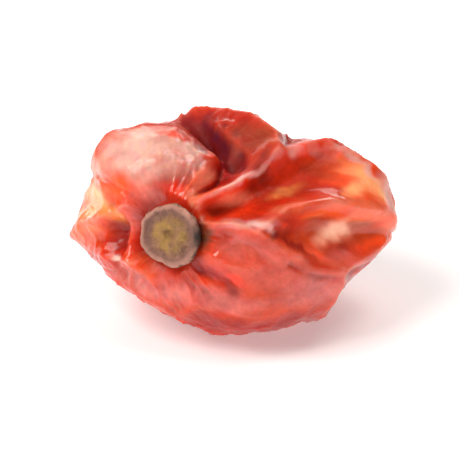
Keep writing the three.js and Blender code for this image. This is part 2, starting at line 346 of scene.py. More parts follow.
def skinRadius(directions):
    # 1 / |direction / half size| for the plump ball, + swellings + folds - hollows
    # + fine relief - creases, turned by smoothstep into height / cosine on the two seats
    strayed = strayedDirections(directions)
    plump = 1 / np.linalg.norm(directions / np.array(fruit["halfSize"]), axis=-1)
    raised = swellHeight(strayed) + foldHeight(strayed)
    skin = plump + pressHollows(strayed, raised)
    kinked = directions + strayPush(directions, **relief["dishStray"])
    kinked = unit(kinked + strayPush(directions, **relief["dishKinks"]))
    fine = dishes(kinked, **relief["largeDishes"]) + dishes(kinked, **relief["smallDishes"])
    fine = fine + sum(wrinkleHeight(kinked, **size) for size in relief["wrinkles"])
    skin = skin + fine * (1 - patchShare(directions, relief["calmPlaces"])) + gatherHeight(strayed)
    skin = skin - creaseDepth(strayed) - relief["settle"]
    cosine = directions @ discAxis
    for (height, angle), sign in ((fruit["discSeat"], 1), (fruit["stalkSeat"], -1)):
        away = np.degrees(np.arccos(np.clip(cosine * sign, -1, 1)))
        share = smoothStep(away, angle, angle + fruit["seatBlend"])
        seat = height / np.maximum(np.abs(cosine), fruit["leastCosine"])
        skin = np.where(share < 1, seat * (1 - share) + skin * share, skin)
    return skin


def poleGrid(rows, columns):
    # clock and reach on a grid from the disc to the stalk, the disc's point in row 0
    reach = np.linspace(0, 180, rows)[:, None] + np.zeros((1, columns))
    clock = np.linspace(0, 360, columns, endpoint=False)[None, :] + np.zeros((rows, 1))
    return clock, reach


def addObject(name, data):
    thing = bpy.data.objects.new(name, data)
    bpy.context.collection.objects.link(thing)
    return thing


def meshOrder(grid):
    # the first pole once, the rows between, the last pole once
    inner = grid[1:-1].reshape(-1, *grid.shape[2:])
    return np.concatenate([grid[0, :1], inner, grid[-1, :1]])


def closedSurface(name, points):
    # a mesh from a grid of points whose first and last rows are single points: a fan of
    # triangles at each pole, four-sided faces between
    rows, columns = points.shape[:2]
    vertices = meshOrder(points)
    column = np.arange(columns)
    following = (column + 1) % columns
    start = 1 + np.arange(rows - 3)[:, None] * columns
    quads = np.stack([start + following, start + columns + following, start + columns + column,
                      start + column], axis=-1).reshape(-1, 4)
    last = len(vertices) - 1
    rim = last - columns
    firstFan = np.stack([np.zeros_like(column), 1 + following, 1 + column], axis=-1)
    lastFan = np.stack([np.full_like(column, last), rim + column, rim + following], axis=-1)
    mesh = bpy.data.meshes.new(name)
    mesh.from_pydata(vertices.tolist(), [], firstFan.tolist() + quads.tolist() + lastFan.tolist())
    mesh.polygons.foreach_set("use_smooth", np.ones(len(mesh.polygons), dtype=bool))
    mesh.update()
    return addObject(name, mesh)


def addMask(piece, name, grid):
    # one number for each point of a closed surface, for its material to read
    attribute = piece.data.attributes.new(name, "FLOAT", "POINT")
    attribute.data.foreach_set("value", meshOrder(grid).astype(np.float32))


def addColour(piece, name, grid):
    # one colour of four numbers for each point of a closed surface
    attribute = piece.data.attributes.new(name, "FLOAT_COLOR", "POINT")
    attribute.data.foreach_set("color", meshOrder(grid).astype(np.float32).ravel())


def smoothed(grid, passes):
    # each pass averages every point with its four neighbours
    for _ in range(passes):
        along = np.concatenate([grid[:1], grid, grid[-1:]])
        grid = (along[:-2] + along[2:] + np.roll(grid, 1, axis=1) + np.roll(grid, -1, axis=1)) / 4
    return grid


# colours of the dried skin and of painted light and shade on it, each with the share of it that the
# skin gives off as a painted glow, standing in for light that comes through the skin
skinColours = {
    "body": (0.60, 0.022, 0.004, 0.02),
    # a deep red laid where shade falls in folds, creases and along the bottom rim: painted shade
    "deepShade": (0.42, 0.008, 0.004, 0.00),
    "vivid": (0.84, 0.036, 0.003, 0.22),
    "orange": (0.92, 0.13, 0.02, 0.18),
    # gives off much of its colour: painted glow
    "ember": (0.92, 0.090, 0.016, 0.34),
    # lights up places that lie in shade, giving off much of its colour: painted light
    "paintedLightCoral": (0.90, 0.27, 0.16, 0.55),
    # gives off much of its colour: painted glow
    "glow": (1.00, 0.32, 0.08, 0.36),
    # gives off much of its colour: painted glow of a sunlit place
    "sunlit": (1.00, 0.42, 0.18, 0.38),
    "salmon": (0.82, 0.088, 0.022, 0.00),
    "rose": (0.90, 0.29, 0.16, 0.00),
    # the skin's pale bloom together with a painted sheen and highlight
    "bloomAndSheen": (0.86, 0.53, 0.46, 0.07),
    # a painted highlight
    "pale": (0.98, 0.74, 0.70, 0.12),
    # a greyish pink painted highlight
    "greyHighlight": (0.62, 0.38, 0.38, 0.00),
    # a darker red painted as shade in a crease
    "crimsonShade": (0.56, 0.016, 0.005, 0.04),
    # a painted glow and highlight
    "glowAndHighlight": (1.00, 0.52, 0.34, 0.80),
    # dark plum painted as shade in hollows, gaps and folds
    "plumShade": (0.07, 0.007, 0.030, 0.00),
    "russet": (0.42, 0.050, 0.012, 0.04),
    # dark brown painted as shadow in the gap beside the disc
    "umberShadow": (0.15, 0.045, 0.020, 0.00),
    "mauve": (0.86, 0.22, 0.19, 0.00),
}

# coloured places, each laid over those before it: where, half length, half width, lean away
# from the line to the disc, colour and strength. Besides stains, many are painted light and
# shade: glows, highlights, sheen, reflections, and shade in hollows, gaps, creases and folds
stainsAndPaintedLight = {
    "belly": ((112, 52), 2.3, 1.7, 0, "salmon", 0.8),
    "bellyLight": ((96, 50), 1.3, 0.6, 0, "mauve", 0.35),
    "lowBelly": ((190, 36), 1.5, 1.0, 90, "salmon", 0.65),
    # painted shade along the bottom rim, next to the floor
    "bottomRimShade": ((137, 62), 2.0, 0.62, 44, "deepShade", 1.0),
    # a painted reflection of the floor, a pink band low on the belly
    "floorReflectionBand": ((136, 38), 1.7, 0.36, 46, "mauve", 0.85),
    # more of that painted reflection of the floor, on the lower left
    "lowLeftReflection": ((178, 26), 1.1, 0.5, 90, "mauve", 0.75),
    "paleRight": ((103, 79), 1.3, 0.56, 10, "mauve", 1.0),
    "cheek": ((318, 42), 1.5, 1.3, 0, "salmon", 0.7),
    "cheekLeft": ((290, 48), 0.9, 0.4, 30, "rose", 0.7),
    # the skin's bloom with a painted sheen over the cheek
    "cheekBloomAndSheen": ((324, 40), 1.44, 0.96, 80, "bloomAndSheen", 0.95),
    "cheekSpot": ((340, 50), 0.5, 0.2, 90, "vivid", 0.8),
    "aboveDisc": ((356, 21), 0.55, 0.22, 90, "vivid", 0.9),
    "discTopRight": ((21, 21), 0.5, 0.2, 90, "rose", 0.85),
    # more bloom and painted sheen on the cheek
    "cheekLowLeft": ((312, 29), 0.5, 0.3, 30, "bloomAndSheen", 0.5),
    # more bloom and painted sheen on the cheek's right side
    "cheekRight": ((355, 46), 0.6, 0.28, 0, "bloomAndSheen", 0.8),
    "cheekTop": ((328, 59), 1.4, 0.3, 90, "body", 0.85),
    "leftTip": ((266, 50), 1.0, 0.8, 0, "orange", 0.9),
    # painted glow
    "leftOrange": ((294, 31), 0.6, 0.35, 30, "ember", 0.9),
    "leftGlow": ((277, 45), 0.85, 0.34, 0, "sunlit", 1.0),
    "leftTipGlow": ((267, 50), 0.5, 0.24, 17, "sunlit", 0.7),
    # painted shade in the hollow left of the disc
    "leftOfDisc": ((250, 27), 0.4, 0.28, -27, "plumShade", 0.25),
    # painted glow in the hollow
    "leftHollow": ((273, 29), 0.42, 0.3, 0, "glow", 0.7),
    "discLeft": ((270, 19), 0.6, 0.22, 90, "mauve", 0.5),
    "cheekLow": ((320, 21), 0.6, 0.22, 90, "mauve", 0.55),
    "leftTipEnd": ((263, 42), 0.36, 0.22, 0, "orange", 0.9),
    "lowLeft": ((208, 20), 0.6, 0.24, 90, "orange", 0.4),
    # a painted highlight
    "lowLeftHighlight": ((234, 29), 0.2, 0.12, -31, "pale", 0.8),
    "facet": ((18, 70), 1.1, 0.75, -60, "russet", 0.9),
    # painted shade in the dark valley
    "valleyShade": ((0, 61), 1.8, 0.68, 66, "plumShade", 1.0),
    # painted light on the valley's side
    "valleySideLight": ((17, 58), 0.7, 0.22, 40, "paintedLightCoral", 0.22),
    # painted shade below the valley
    "belowValleyShade": ((24, 42), 0.7, 0.4, -80, "deepShade", 0.8),
    # painted light where the valley's mouth lies in shade
    "valleyMouthLight": ((11, 33), 0.56, 0.34, 0, "paintedLightCoral", 0.65),
    "redHollow": ((50, 42), 1.3, 0.56, -8, "vivid", 1.0),
    "upperRight": ((48, 80), 1.3, 0.74, 0, "vivid", 1.0),
    "upperBrown": ((52, 92), 0.6, 0.3, -16, "russet", 0.85),
    "slotGlow": ((46, 38), 0.75, 0.22, 0, "paintedLightCoral", 0.6),
    # painted shade on the flank of the first ridge
    "ridgeSide": ((33, 60), 0.6, 0.19, 0, "plumShade", 0.9),
    "ridgeShade": ((68, 56), 0.46, 0.16, 0, "deepShade", 0.95),
    "hollowGlow": ((54, 68), 0.66, 0.22, 0, "glow", 0.85),
    # painted glow on the shoulder
    "shoulderEmber": ((60, 99), 1.0, 0.66, -50, "ember", 0.9),
    "shoulderGlow": ((62, 102), 0.66, 0.34, -61, "sunlit", 0.75),
    # painted glow on the shoulder
    "shoulderMid": ((65, 93), 0.4, 0.22, 0, "sunlit", 0.85),
    # a painted highlight along the right edge
    "rightEdgeHighlight": ((69, 111), 0.56, 0.34, 71, "bloomAndSheen", 0.7),
    # a painted highlight line along the first ridge
    "firstRidgeHighlight": ((37, 47), 1.45, 0.1, 0, "pale", 0.75),
    # a painted highlight patch
    "patch": ((37, 82), 0.42, 0.17, -45, "pale", 0.46),
    "patchRight": ((40, 92), 0.55, 0.19, -55, "mauve", 0.9),
    # painted highlight lines along the second ridge
    "secondRidgeHighlight": ((65, 60), 0.6, 0.14, 0, "rose", 0.45),
    "secondRidgeEndHighlight": ((70, 87), 1.1, 0.15, -13, "rose", 0.75),
    # a painted highlight line along the belly ridge
    "bellyRidgeHighlight": ((71, 39), 0.86, 0.17, -6, "greyHighlight", 0.75),
    # painted glow in the lens
    "lens": ((79, 80), 1.45, 0.62, 0, "ember", 0.95),
    "lensHead": ((74, 62), 0.6, 0.3, -12, "vivid", 0.8),
    # painted shade in the gap at the lens's head
    "lensGapShade": ((80, 50), 0.26, 0.1, 20, "plumShade", 0.7),
    # a painted highlight
    "lensSlitHighlight": ((74, 45), 0.34, 0.14, -31, "pale", 0.85),
    # a painted glow and highlight in the lens
    "lensGlowPatch": ((80, 88), 0.7, 0.36, 12, "glowAndHighlight", 0.9),
    "lensOrange": ((76, 97), 0.45, 0.22, 0, "orange", 0.8),
    # painted glow
    "lensTail": ((83, 101), 0.6, 0.36, 0, "ember", 0.9),
    # painted shade along the lens's edge
    "lensEdgeShade": ((86, 62), 0.8, 0.12, -30, "deepShade", 0.9),
    "lensTop": ((71, 74), 0.6, 0.16, 0, "orange", 0.7),
    # painted shade below the lens
    "lensBelowShade": ((92, 72), 0.7, 0.14, 0, "deepShade", 0.6),
    "lensLip": ((91, 86), 0.8, 0.18, -6, "mauve", 0.6),
    "rightTip": ((81, 112), 0.5, 0.4, 0, "orange", 0.6),
    "bellyTop": ((87, 33), 0.6, 0.3, 0, "mauve", 0.45),
    # painted shade in the belly's crease
    "bellyCrease": ((116, 33), 0.66, 0.36, 0, "crimsonShade", 1.0),
    "creaseGlow": ((112, 37), 0.34, 0.18, 0, "vivid", 0.8),
    # deeper painted shade in the crease
    "bellyCreaseShade": ((121, 24), 0.46, 0.24, 0, "deepShade", 1.0),
    # a painted highlight on the shoulder's rim
    "shoulderRimHighlight": ((53, 103), 0.66, 0.13, -66, "bloomAndSheen", 0.75),
    # painted shadow in the gap beside the disc
    "discGapShadow": ((74, 18), 0.52, 0.22, 90, "umberShadow", 1.0),
    # painted shade round the stalk, among its gathers
    "stalkEnd": ((0, 178), 1.3, 1.3, 0, "plumShade", 0.7),
    # painted shade in the fold at the back
    "backFoldShade": ((340, 110), 1.6, 0.6, 30, "plumShade", 0.6),
    "backGlow": ((300, 128), 1.2, 0.8, 20, "orange", 0.8),
    "topBackGlow": ((20, 118), 1.1, 0.8, 60, "orange", 0.6),
    "underGlow": ((160, 100), 1.8, 1.0, 40, "vivid", 0.6),
    # painted shade in the fold on the left flank
    "leftFlankFoldShade": ((250, 112), 1.1, 0.6, 0, "deepShade", 0.8),
    "rightEndGlow": ((88, 128), 0.9, 0.6, 40, "orange", 0.8),
}
skinMarks = {
    "stainFade": (0.35, 1.25),  # a stain fades between these oval distances
    # how the edges of stains waver, and how they run out in streaks towards the disc
    "stainEdges": [{"amount": 0.035, "waves": 9, "turns": 22.0, "phase": 3.0},
                   {"amount": 0.01, "waves": 11, "turns": 70.0, "phase": 8.0}],
    "streaks": [(31, 0.3, 0.016), (53, 1.9, 0.011), (97, 0.6, 0.007)],
    "streakBend": (6, 0.2),
    "smoothing": 60,  # passes that leave only the slow shape
    # raised places, above the slow shape, get a painted glow standing in for light through thin
    # skin
    "ridgeRise": 0.1,  # above the slow shape where the skin looks thin
    # sunken places, below the slow shape, get painted shade
    "creaseShadeDrop": 0.12,  # below it where the skin looks darkest
    "wrinkleReach": 0.3,  # less draws the fine wrinkles out longer
}


def streakPush(directions, clock):
    # each point pushed along its line to the disc by sin(reach) times the sum of
    # amount * sin(lobes * clock + shift)
    bends, amount = skinMarks["streakBend"]
    clock = clock + amount * np.sin(bends * directions @ discAxis)
    outward = directions * (directions @ discAxis)[..., None] - discAxis
    return waviness(clock, skinMarks["streaks"])[..., None] * outward


def colourWithPaintedLight(directions):
    # the body colour, mixed with the colour of each place, stain, painted light and painted shade
    # alike, by strength * (1 - smoothstep of its oval distance over the stain's fade)
    colour = np.zeros((*directions.shape[:-1], 4)) + skinColours["body"]
    for place, halfLength, halfWidth, lean, name, strength in stainsAndPaintedLight.values():
        distance = ovalDistance(directions, place, halfLength, halfWidth, lean)
        share = (strength * (1 - smoothStep(distance, *skinMarks["stainFade"])))[..., None]
        colour = colour * (1 - share) + np.array(skinColours[name]) * share
    return colour


# where the crests of the standing folds get paler skin and a painted highlight
def crestHighlightShare(directions):
    # exp(-(distance to the nearest standing fold / crest width) ** 2)
    nearest = np.full(directions.shape[:-1], farAway)
    for path, _, _ in standingFolds.values():
        nearest = np.minimum(nearest, distanceToPath(directions, path))
    return np.exp(-(nearest / relief["crestHighlightWidth"]) ** 2)


def lengthwisePlace(directions):
    # (cos(clock), sin(clock), wrinkle reach * reach, 1): fine wrinkles drawn in this place
    # run from end to end of the fruit
    across = unit(np.stack([directions @ discUp, directions @ discRight], axis=-1) + tiny)
    reach = np.arccos(np.clip(directions @ discAxis, -1, 1))[..., None]
    return np.concatenate([across, skinMarks["wrinkleReach"] * reach, np.ones_like(reach)],
                          axis=-1)


def makeFruit():
    # direction * skinRadius(direction) over the whole ball, cut off softly at the belly flat
    # and centred on the berry_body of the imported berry
    clock, reach = poleGrid(fruit["rows"], fruit["columns"])
    directions = directionTo(clock, reach)
    radius = skinRadius(directions)
    points = directions * radius[..., None]
    points[..., 2] = -softMin(-points[..., 2], fruit["bellyDrop"], fruit["bellyRound"])
    lowest, highest = (np.array(corner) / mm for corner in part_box("berry_body"))
    middle = (lowest + highest - points.min(axis=(0, 1)) - points.max(axis=(0, 1))) / 2
    middle[2] = lowest[2] + fruit["bellyDrop"]
    piece = closedSurface("dried_skin", (points + middle) * mm)
    rise = radius - smoothed(radius, skinMarks["smoothing"])
    # how far each place rises above the slow shape, for the painted glow on raised places
    addMask(piece, "ridge", np.clip(rise / skinMarks["ridgeRise"], 0, 1))
    # how far each place sinks below the slow shape, for the painted shade in creases
    addMask(piece, "creaseShading", np.clip(-rise / skinMarks["creaseShadeDrop"], 0, 1))
    strayed = strayedDirections(directions)
    # paler skin and a painted highlight along the crests of the standing folds
    addMask(piece, "crestPaleAndHighlight", crestHighlightShare(strayed))
    wavering = strayed + sum(strayPush(directions, **edge) for edge in skinMarks["stainEdges"])
    wavering = unit(wavering + streakPush(strayed, np.radians(clock)))
    # the colours of stains and of painted light and shade
    addColour(piece, "colourAndPaintedLight", colourWithPaintedLight(wavering))
    addColour(piece, "lengthwise", lengthwisePlace(strayed))
    addMask(piece, "calm", patchShare(directions, relief["calmPlaces"]))
    addMask(piece, "dull", patchShare(wavering, relief["dullPlaces"]))
    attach(piece, "root")
    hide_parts("berry_body")
    return piece, middle


skin, fruitMiddle = makeFruit()
print("skin:", len(skin.data.polygons), "faces")


disc = {
    # from the middle of its underside, out over its wall and rim, to the middle of its face
    "section": [(0, 0), (0.62, 0), (0.75, 0.06), (0.81, 0.16), (0.80, 0.25), (0.75, 0.31),
                (0.68, 0.30), (0.62, 0.24), (0.52, 0.20), (0.44, 0.22), (0.36, 0.25), (0.24, 0.24),
                (0.15, 0.19), (0.09, 0.13), (0, 0.11)],
    "rows": 170,
    "columns": 220,
    # waves round it: lobes, shift and share
    "rimWaves": [(1, 0.0, 0.06), (2, -1.57, 0.045), (3, 0.4, 0.024),
                 (5, 1.9, 0.016), (9, 0.7, 0.012), (17, 0.1, 0.008)],
    "faceWaves": [(2, 1.1, 0.10), (3, 0.2, 0.07), (7, 2.0, 0.05)],
    "raisedFrom": (0.02, 0.12),  # rise over which the lumps and rays set in
    "fibres": 31,  # small rays on the face
    "fibreSway": [(3, 0.0, 1.2)],
    "fibreDepth": 0.016,
    "fibresFrom": (0.12, 0.3),  # distance from the middle over which they set in
    "lumps": [(0.034, 9.0, 1.0), (0.012, 34.0, 4.0)],  # height, how close, phase
    "lumpSpread": 0.5,  # how much of a lump goes sideways
    "notch": (1.42, 0.42, 0.06),  # a crack in the rim: angle, half width, depth
    "notchFrom": (0.55, 0.75),
}
ripples = {"waves": 12, "level": 3.5}


def smoothSection(section, rows):
    # the section's points joined by a curve through them (Catmull-Rom), at even steps
    points = np.array(section, dtype=float)
    padded = np.concatenate([points[:1], points, points[-1:]])
    at = np.linspace(0, len(points) - 1, rows)
    whole = np.minimum(at.astype(int), len(points) - 2)
    part = (at - whole)[:, None]
    before, first, second, after = (padded[whole + step] for step in range(4))
    return (first + part * (second - before) / 2
            + part ** 2 * (2 * before - 5 * first + 4 * second - after) / 2
            + part ** 3 * (3 * first - 3 * second + after - before) / 2)


def sectionGrid(settings):
    # the section's distance from the axis and its rise, and the angle round the axis
    profile = smoothSection(settings["section"], settings["rows"])
    angle = np.linspace(0, 2 * np.pi, settings["columns"], endpoint=False)[None, :]
    angle = angle + np.zeros((settings["rows"], 1))
    return np.maximum(profile[:, :1], 0), profile[:, 1:], angle


def ripple(points, turns, phase):
    # sum of sin(turns * (point . spread direction) + waveStep * index + phase), about 1 high
    spread = spreadDirections(ripples["waves"], phase)
    wave = np.sin(points @ spread.T * turns + waveStep * np.arange(ripples["waves"]) + phase)
    return wave.sum(axis=-1) / ripples["level"]


def turned(radius, height, angle, axis, seat):
    # axis * (seat + height) + radius * (cos(angle) * up + sin(angle) * right)
    rightward = discRight * np.sign(axis @ discAxis)
    around = np.cos(angle)[..., None] * discUp + np.sin(angle)[..., None] * rightward
    return around * radius[..., None] + axis * (height + seat)[..., None]


def turnedSurface(name, points):
    # its ends drawn to single points, its rows from the top down so that faces look outwards
    points[0], points[-1] = points[0].mean(axis=0), points[-1].mean(axis=0)
    return closedSurface(name, (points[::-1] + fruitMiddle) * mm)


def makeDisc():
    # the section carried round the axis: distance * (1 + rim waves - notch), rise * (1 + face
    # waves) - rays of |sin(fibres / 2 * angle + sway)| - notch, and lumps over all
    reach, rise, angle = sectionGrid(disc)
    raised = smoothStep(rise, *disc["raisedFrom"])
    notchAngle, notchWidth, notchDepth = disc["notch"]
    notch = notchDepth * np.exp(-((angle - notchAngle) / notchWidth) ** 2)
    notch = notch * smoothStep(reach, *disc["notchFrom"])
    radius = reach * (1 + waviness(angle, disc["rimWaves"]) - notch)
    ray = np.abs(np.sin(disc["fibres"] / 2 * angle + waviness(angle, disc["fibreSway"])))
    rays = disc["fibreDepth"] * ray * smoothStep(reach, *disc["fibresFrom"])
    height = rise * (1 + waviness(angle, disc["faceWaves"]) * reach) - (rays + notch) * raised
    seat = fruit["discSeat"][0]
    smooth = turned(radius, height, angle, discAxis, seat)
    lumps = sum(size * ripple(smooth, turns, phase) for size, turns, phase in disc["lumps"])
    piece = turnedSurface("corky_disc", turned(radius * (1 + lumps * disc["lumpSpread"]),
                                               height + lumps * raised, angle, discAxis, seat))
    inward = np.linspace(0, 1, disc["rows"])[:, None] + np.zeros_like(angle)
    addMask(piece, "inward", inward[::-1])
    # where the rim's crack is, which is painted near black as its shadow
    addMask(piece, "crackShadow", (notch / notchDepth)[::-1])
    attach(piece, "root")
    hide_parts("stigma_disc")
    return piece


stub = {
    "section": [(0, 0), (0.42, 0), (0.36, 0.12), (0.29, 0.26), (0.28, 0.42), (0.33, 0.52),
                (0.28, 0.58), (0.15, 0.54), (0, 0.55)],
    "rows": 110,
    "columns": 160,
    "ridges": [(3, 0.9, 0.06), (8, 0.3, 0.05), (19, 0.7, 0.025)],
    "endWaves": [(2, 0.5, 0.25), (5, 1.2, 0.12)],
    "raisedFrom": (0.1, 0.4),
    "lumps": (0.02, 22.0, 2.0),
}


def makeStub():
    # the section carried round the axis: distance * (1 + ridges), rise * (1 + end waves) for
    # a broken end, and lumps over all
    reach, rise, angle = sectionGrid(stub)
    radius = reach * (1 + waviness(angle, stub["ridges"]))
    height = rise * (1 + waviness(angle, stub["endWaves"]) * reach)
    seat = fruit["stalkSeat"][0]
    size, turns, phase = stub["lumps"]
    lumps = size * ripple(turned(radius, height, angle, -discAxis, seat), turns, phase)
    raised = smoothStep(rise, *stub["raisedFrom"])
    piece = turnedSurface("stalk_end", turned(radius * (1 + lumps), height + lumps * raised,
                                              angle, -discAxis, seat))
    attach(piece, "root")
    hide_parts("stalk_stub")
    return piece


corkyDisc = makeDisc()
stalkEnd = makeStub()
print("disc and stub made")


def newMaterial(name, sockets):
    # a material, its tree and its shader with these sockets set
    material = bpy.data.materials.new(name)
    material.use_nodes = True
    shader = material.node_tree.nodes["Principled BSDF"]
    for socket, value in sockets.items():
        shader.inputs[socket].default_value = value
    return material, material.node_tree, shader


def feed(tree, socket, value):
    # the socket set to a value, or linked to another socket
    if isinstance(value, bpy.types.NodeSocket):
        tree.links.new(value, socket)
    else:
        socket.default_value = value


def addNode(tree, kind, inputs=None, **settings):
    node = tree.nodes.new(kind)
    for name, value in settings.items():
        setattr(node, name, value)
    for name, value in (inputs or {}).items():
        feed(tree, node.inputs[name], value)
    return node


def mixColour(tree, share, first, second):
    # a colour mix node's share is its input 0, its colours are 6 and 7, its result is 2
    node = addNode(tree, "ShaderNodeMix", {0: share, 6: first, 7: second}, data_type="RGBA")
    return node.outputs[2]


def maths(tree, operation, first, second):
    return addNode(tree, "ShaderNodeMath", {0: first, 1: second}, operation=operation).outputs[0]


def remap(tree, value, source, target=(0.0, 1.0), **settings):
    # the value carried from the source range to the target range and kept within it
    ends = {"From Min": source[0], "From Max": source[1], "To Min": target[0], "To Max": target[1]}
    return addNode(tree, "ShaderNodeMapRange", {"Value": value, **ends}, **settings).outputs[0]


def mask(tree, name):
    return addNode(tree, "ShaderNodeAttribute", attribute_name=name).outputs["Fac"]


def ramp(tree, share, stops):
    # a colour for each stop, blended between them
    node = addNode(tree, "ShaderNodeValToRGB", {"Fac": share})
    while len(node.color_ramp.elements) < len(stops):
        node.color_ramp.elements.new(0.5)
    for element, (at, colour) in zip(node.color_ramp.elements, stops):
        element.position, element.color = at, (*colour, 1)
    return node.outputs["Color"]


def shaded(tree, colour, shade):
    # the colour made lighter or darker by the shade
    return addNode(tree, "ShaderNodeVectorMath", {0: colour, "Scale": shade},
                   operation="SCALE").outputs["Vector"]


def smallCells(tree, spot, scale):
    # distance to the nearest of many scattered points, softly joined
    return addNode(tree, "ShaderNodeTexVoronoi", {"Vector": spot, "Scale": scale},
                   feature="SMOOTH_F1").outputs["Distance"]


def addBump(tree, shader, height, bump):
    strength, distance = bump
    node = addNode(tree, "ShaderNodeBump", {"Height": height, "Strength": strength,
                                            "Distance": distance})
    tree.links.new(node.outputs["Normal"], shader.inputs["Normal"])


grainMix = {
    "coarse": {"Detail": 4.0, "Distortion": 0.4},
    "fine": {"Detail": 5.0},
    "coarseShare": 0.65,
    "fineShare": 0.35,
}


def makeGrain():
    # uneven shade 1 + contrast * (coarse share * coarse + fine share * fine - 1/2), and the
    # fine noise as a height, shared by the skin, the cork and the stalk
    group = bpy.data.node_groups.new("uneven grain", "ShaderNodeTree")
    for name, kind in (("Spot", "NodeSocketVector"), ("Coarse", "NodeSocketFloat"),
                       ("Fine", "NodeSocketFloat"), ("Contrast", "NodeSocketFloat")):
        group.interface.new_socket(name, in_out="INPUT", socket_type=kind)
    for name in ("Shade", "Height"):
        group.interface.new_socket(name, in_out="OUTPUT", socket_type="NodeSocketFloat")
    given = addNode(group, "NodeGroupInput").outputs
    coarse, fine = (
        addNode(group, "ShaderNodeTexNoise", {"Vector": given["Spot"], "Scale": given[scale],
                                              **grainMix[look]}).outputs["Fac"]
        for scale, look in (("Coarse", "coarse"), ("Fine", "fine")))
    both = maths(group, "ADD", maths(group, "MULTIPLY", coarse, grainMix["coarseShare"]),
                 maths(group, "MULTIPLY", fine, grainMix["fineShare"]))
    uneven = maths(group, "MULTIPLY", maths(group, "SUBTRACT", both, 0.5), given["Contrast"])
    addNode(group, "NodeGroupOutput", {"Shade": maths(group, "ADD", uneven, 1.0), "Height": fine})
    return group


grainGroup = makeGrain()


def grain(tree, scales):
    # where each point is, and the shared grain's shade and height there
    spot = addNode(tree, "ShaderNodeTexCoord").outputs["Object"]
    coarse, fine, contrast = scales
    node = addNode(tree, "ShaderNodeGroup", node_tree=grainGroup)
    for name, value in (("Spot", spot), ("Coarse", coarse), ("Fine", fine), ("Contrast", contrast)):
        feed(tree, node.inputs[name], value)
    return spot, node.outputs["Shade"], node.outputs["Height"]


skinFinish = {
    "grain": (1400.0, 9000.0, 1.1),  # coarse and fine scale, contrast
    # a near-black red painted as shade in the creases
    "fold": (0.26, 0.006, 0.003, 1),
    "creaseShadeShare": 0.8,
    # orange painted on raised places: a glow standing in for light through thin skin
    "thinGlow": (0.9, 0.1, 0.02, 1),
    "thinGlowShare": 0.35,
    # paler skin and a painted highlight along the crests
    "crestPaleAndHighlight": (0.95, 0.42, 0.32, 1),
    "crestHighlightFrom": (0.75, 1.15),  # shades between which a crest line comes and goes
    "crestHighlightShare": 0.52,
    "pulp": (0.48, 0.01, 0.004, 1),  # darker pulp shows through in small cells
    "pulpCells": 2600.0,
    "pulpFrom": (0.35, 0.75),
    "pulpShare": 0.35,
    "wrinkles": {"Scale": 11.0, "Detail": 5.0},
    "bump": (0.8, 0.000025),
    "roughFrom": (0.7, 1.3),  # light places are smoother than dark ones
    "roughness": (0.46, 0.24),
    "dullRoughness": 0.25,  # added where the skin is dull
    "wetFrom": (0.75, 1.1),  # light places are wetter too
    "wet": (0.35, 1.0),
    "redFrom": (0.15, 0.55),  # and red ones wetter than brown ones
    "redWet": (0.12, 1.0),
    "sockets": {
        "Emission Strength": 1.0,
        "Coat Roughness": 0.08,
        "IOR": 1.4,
        "Specular IOR Level": 0.22,  # the skin's gloss under its wet film
        "Subsurface Weight": 1.0,
        "Subsurface Radius": (1.3, 0.22, 0.08),  # how far red, green and blue travel
        "Subsurface Scale": 0.0004,
    },
}


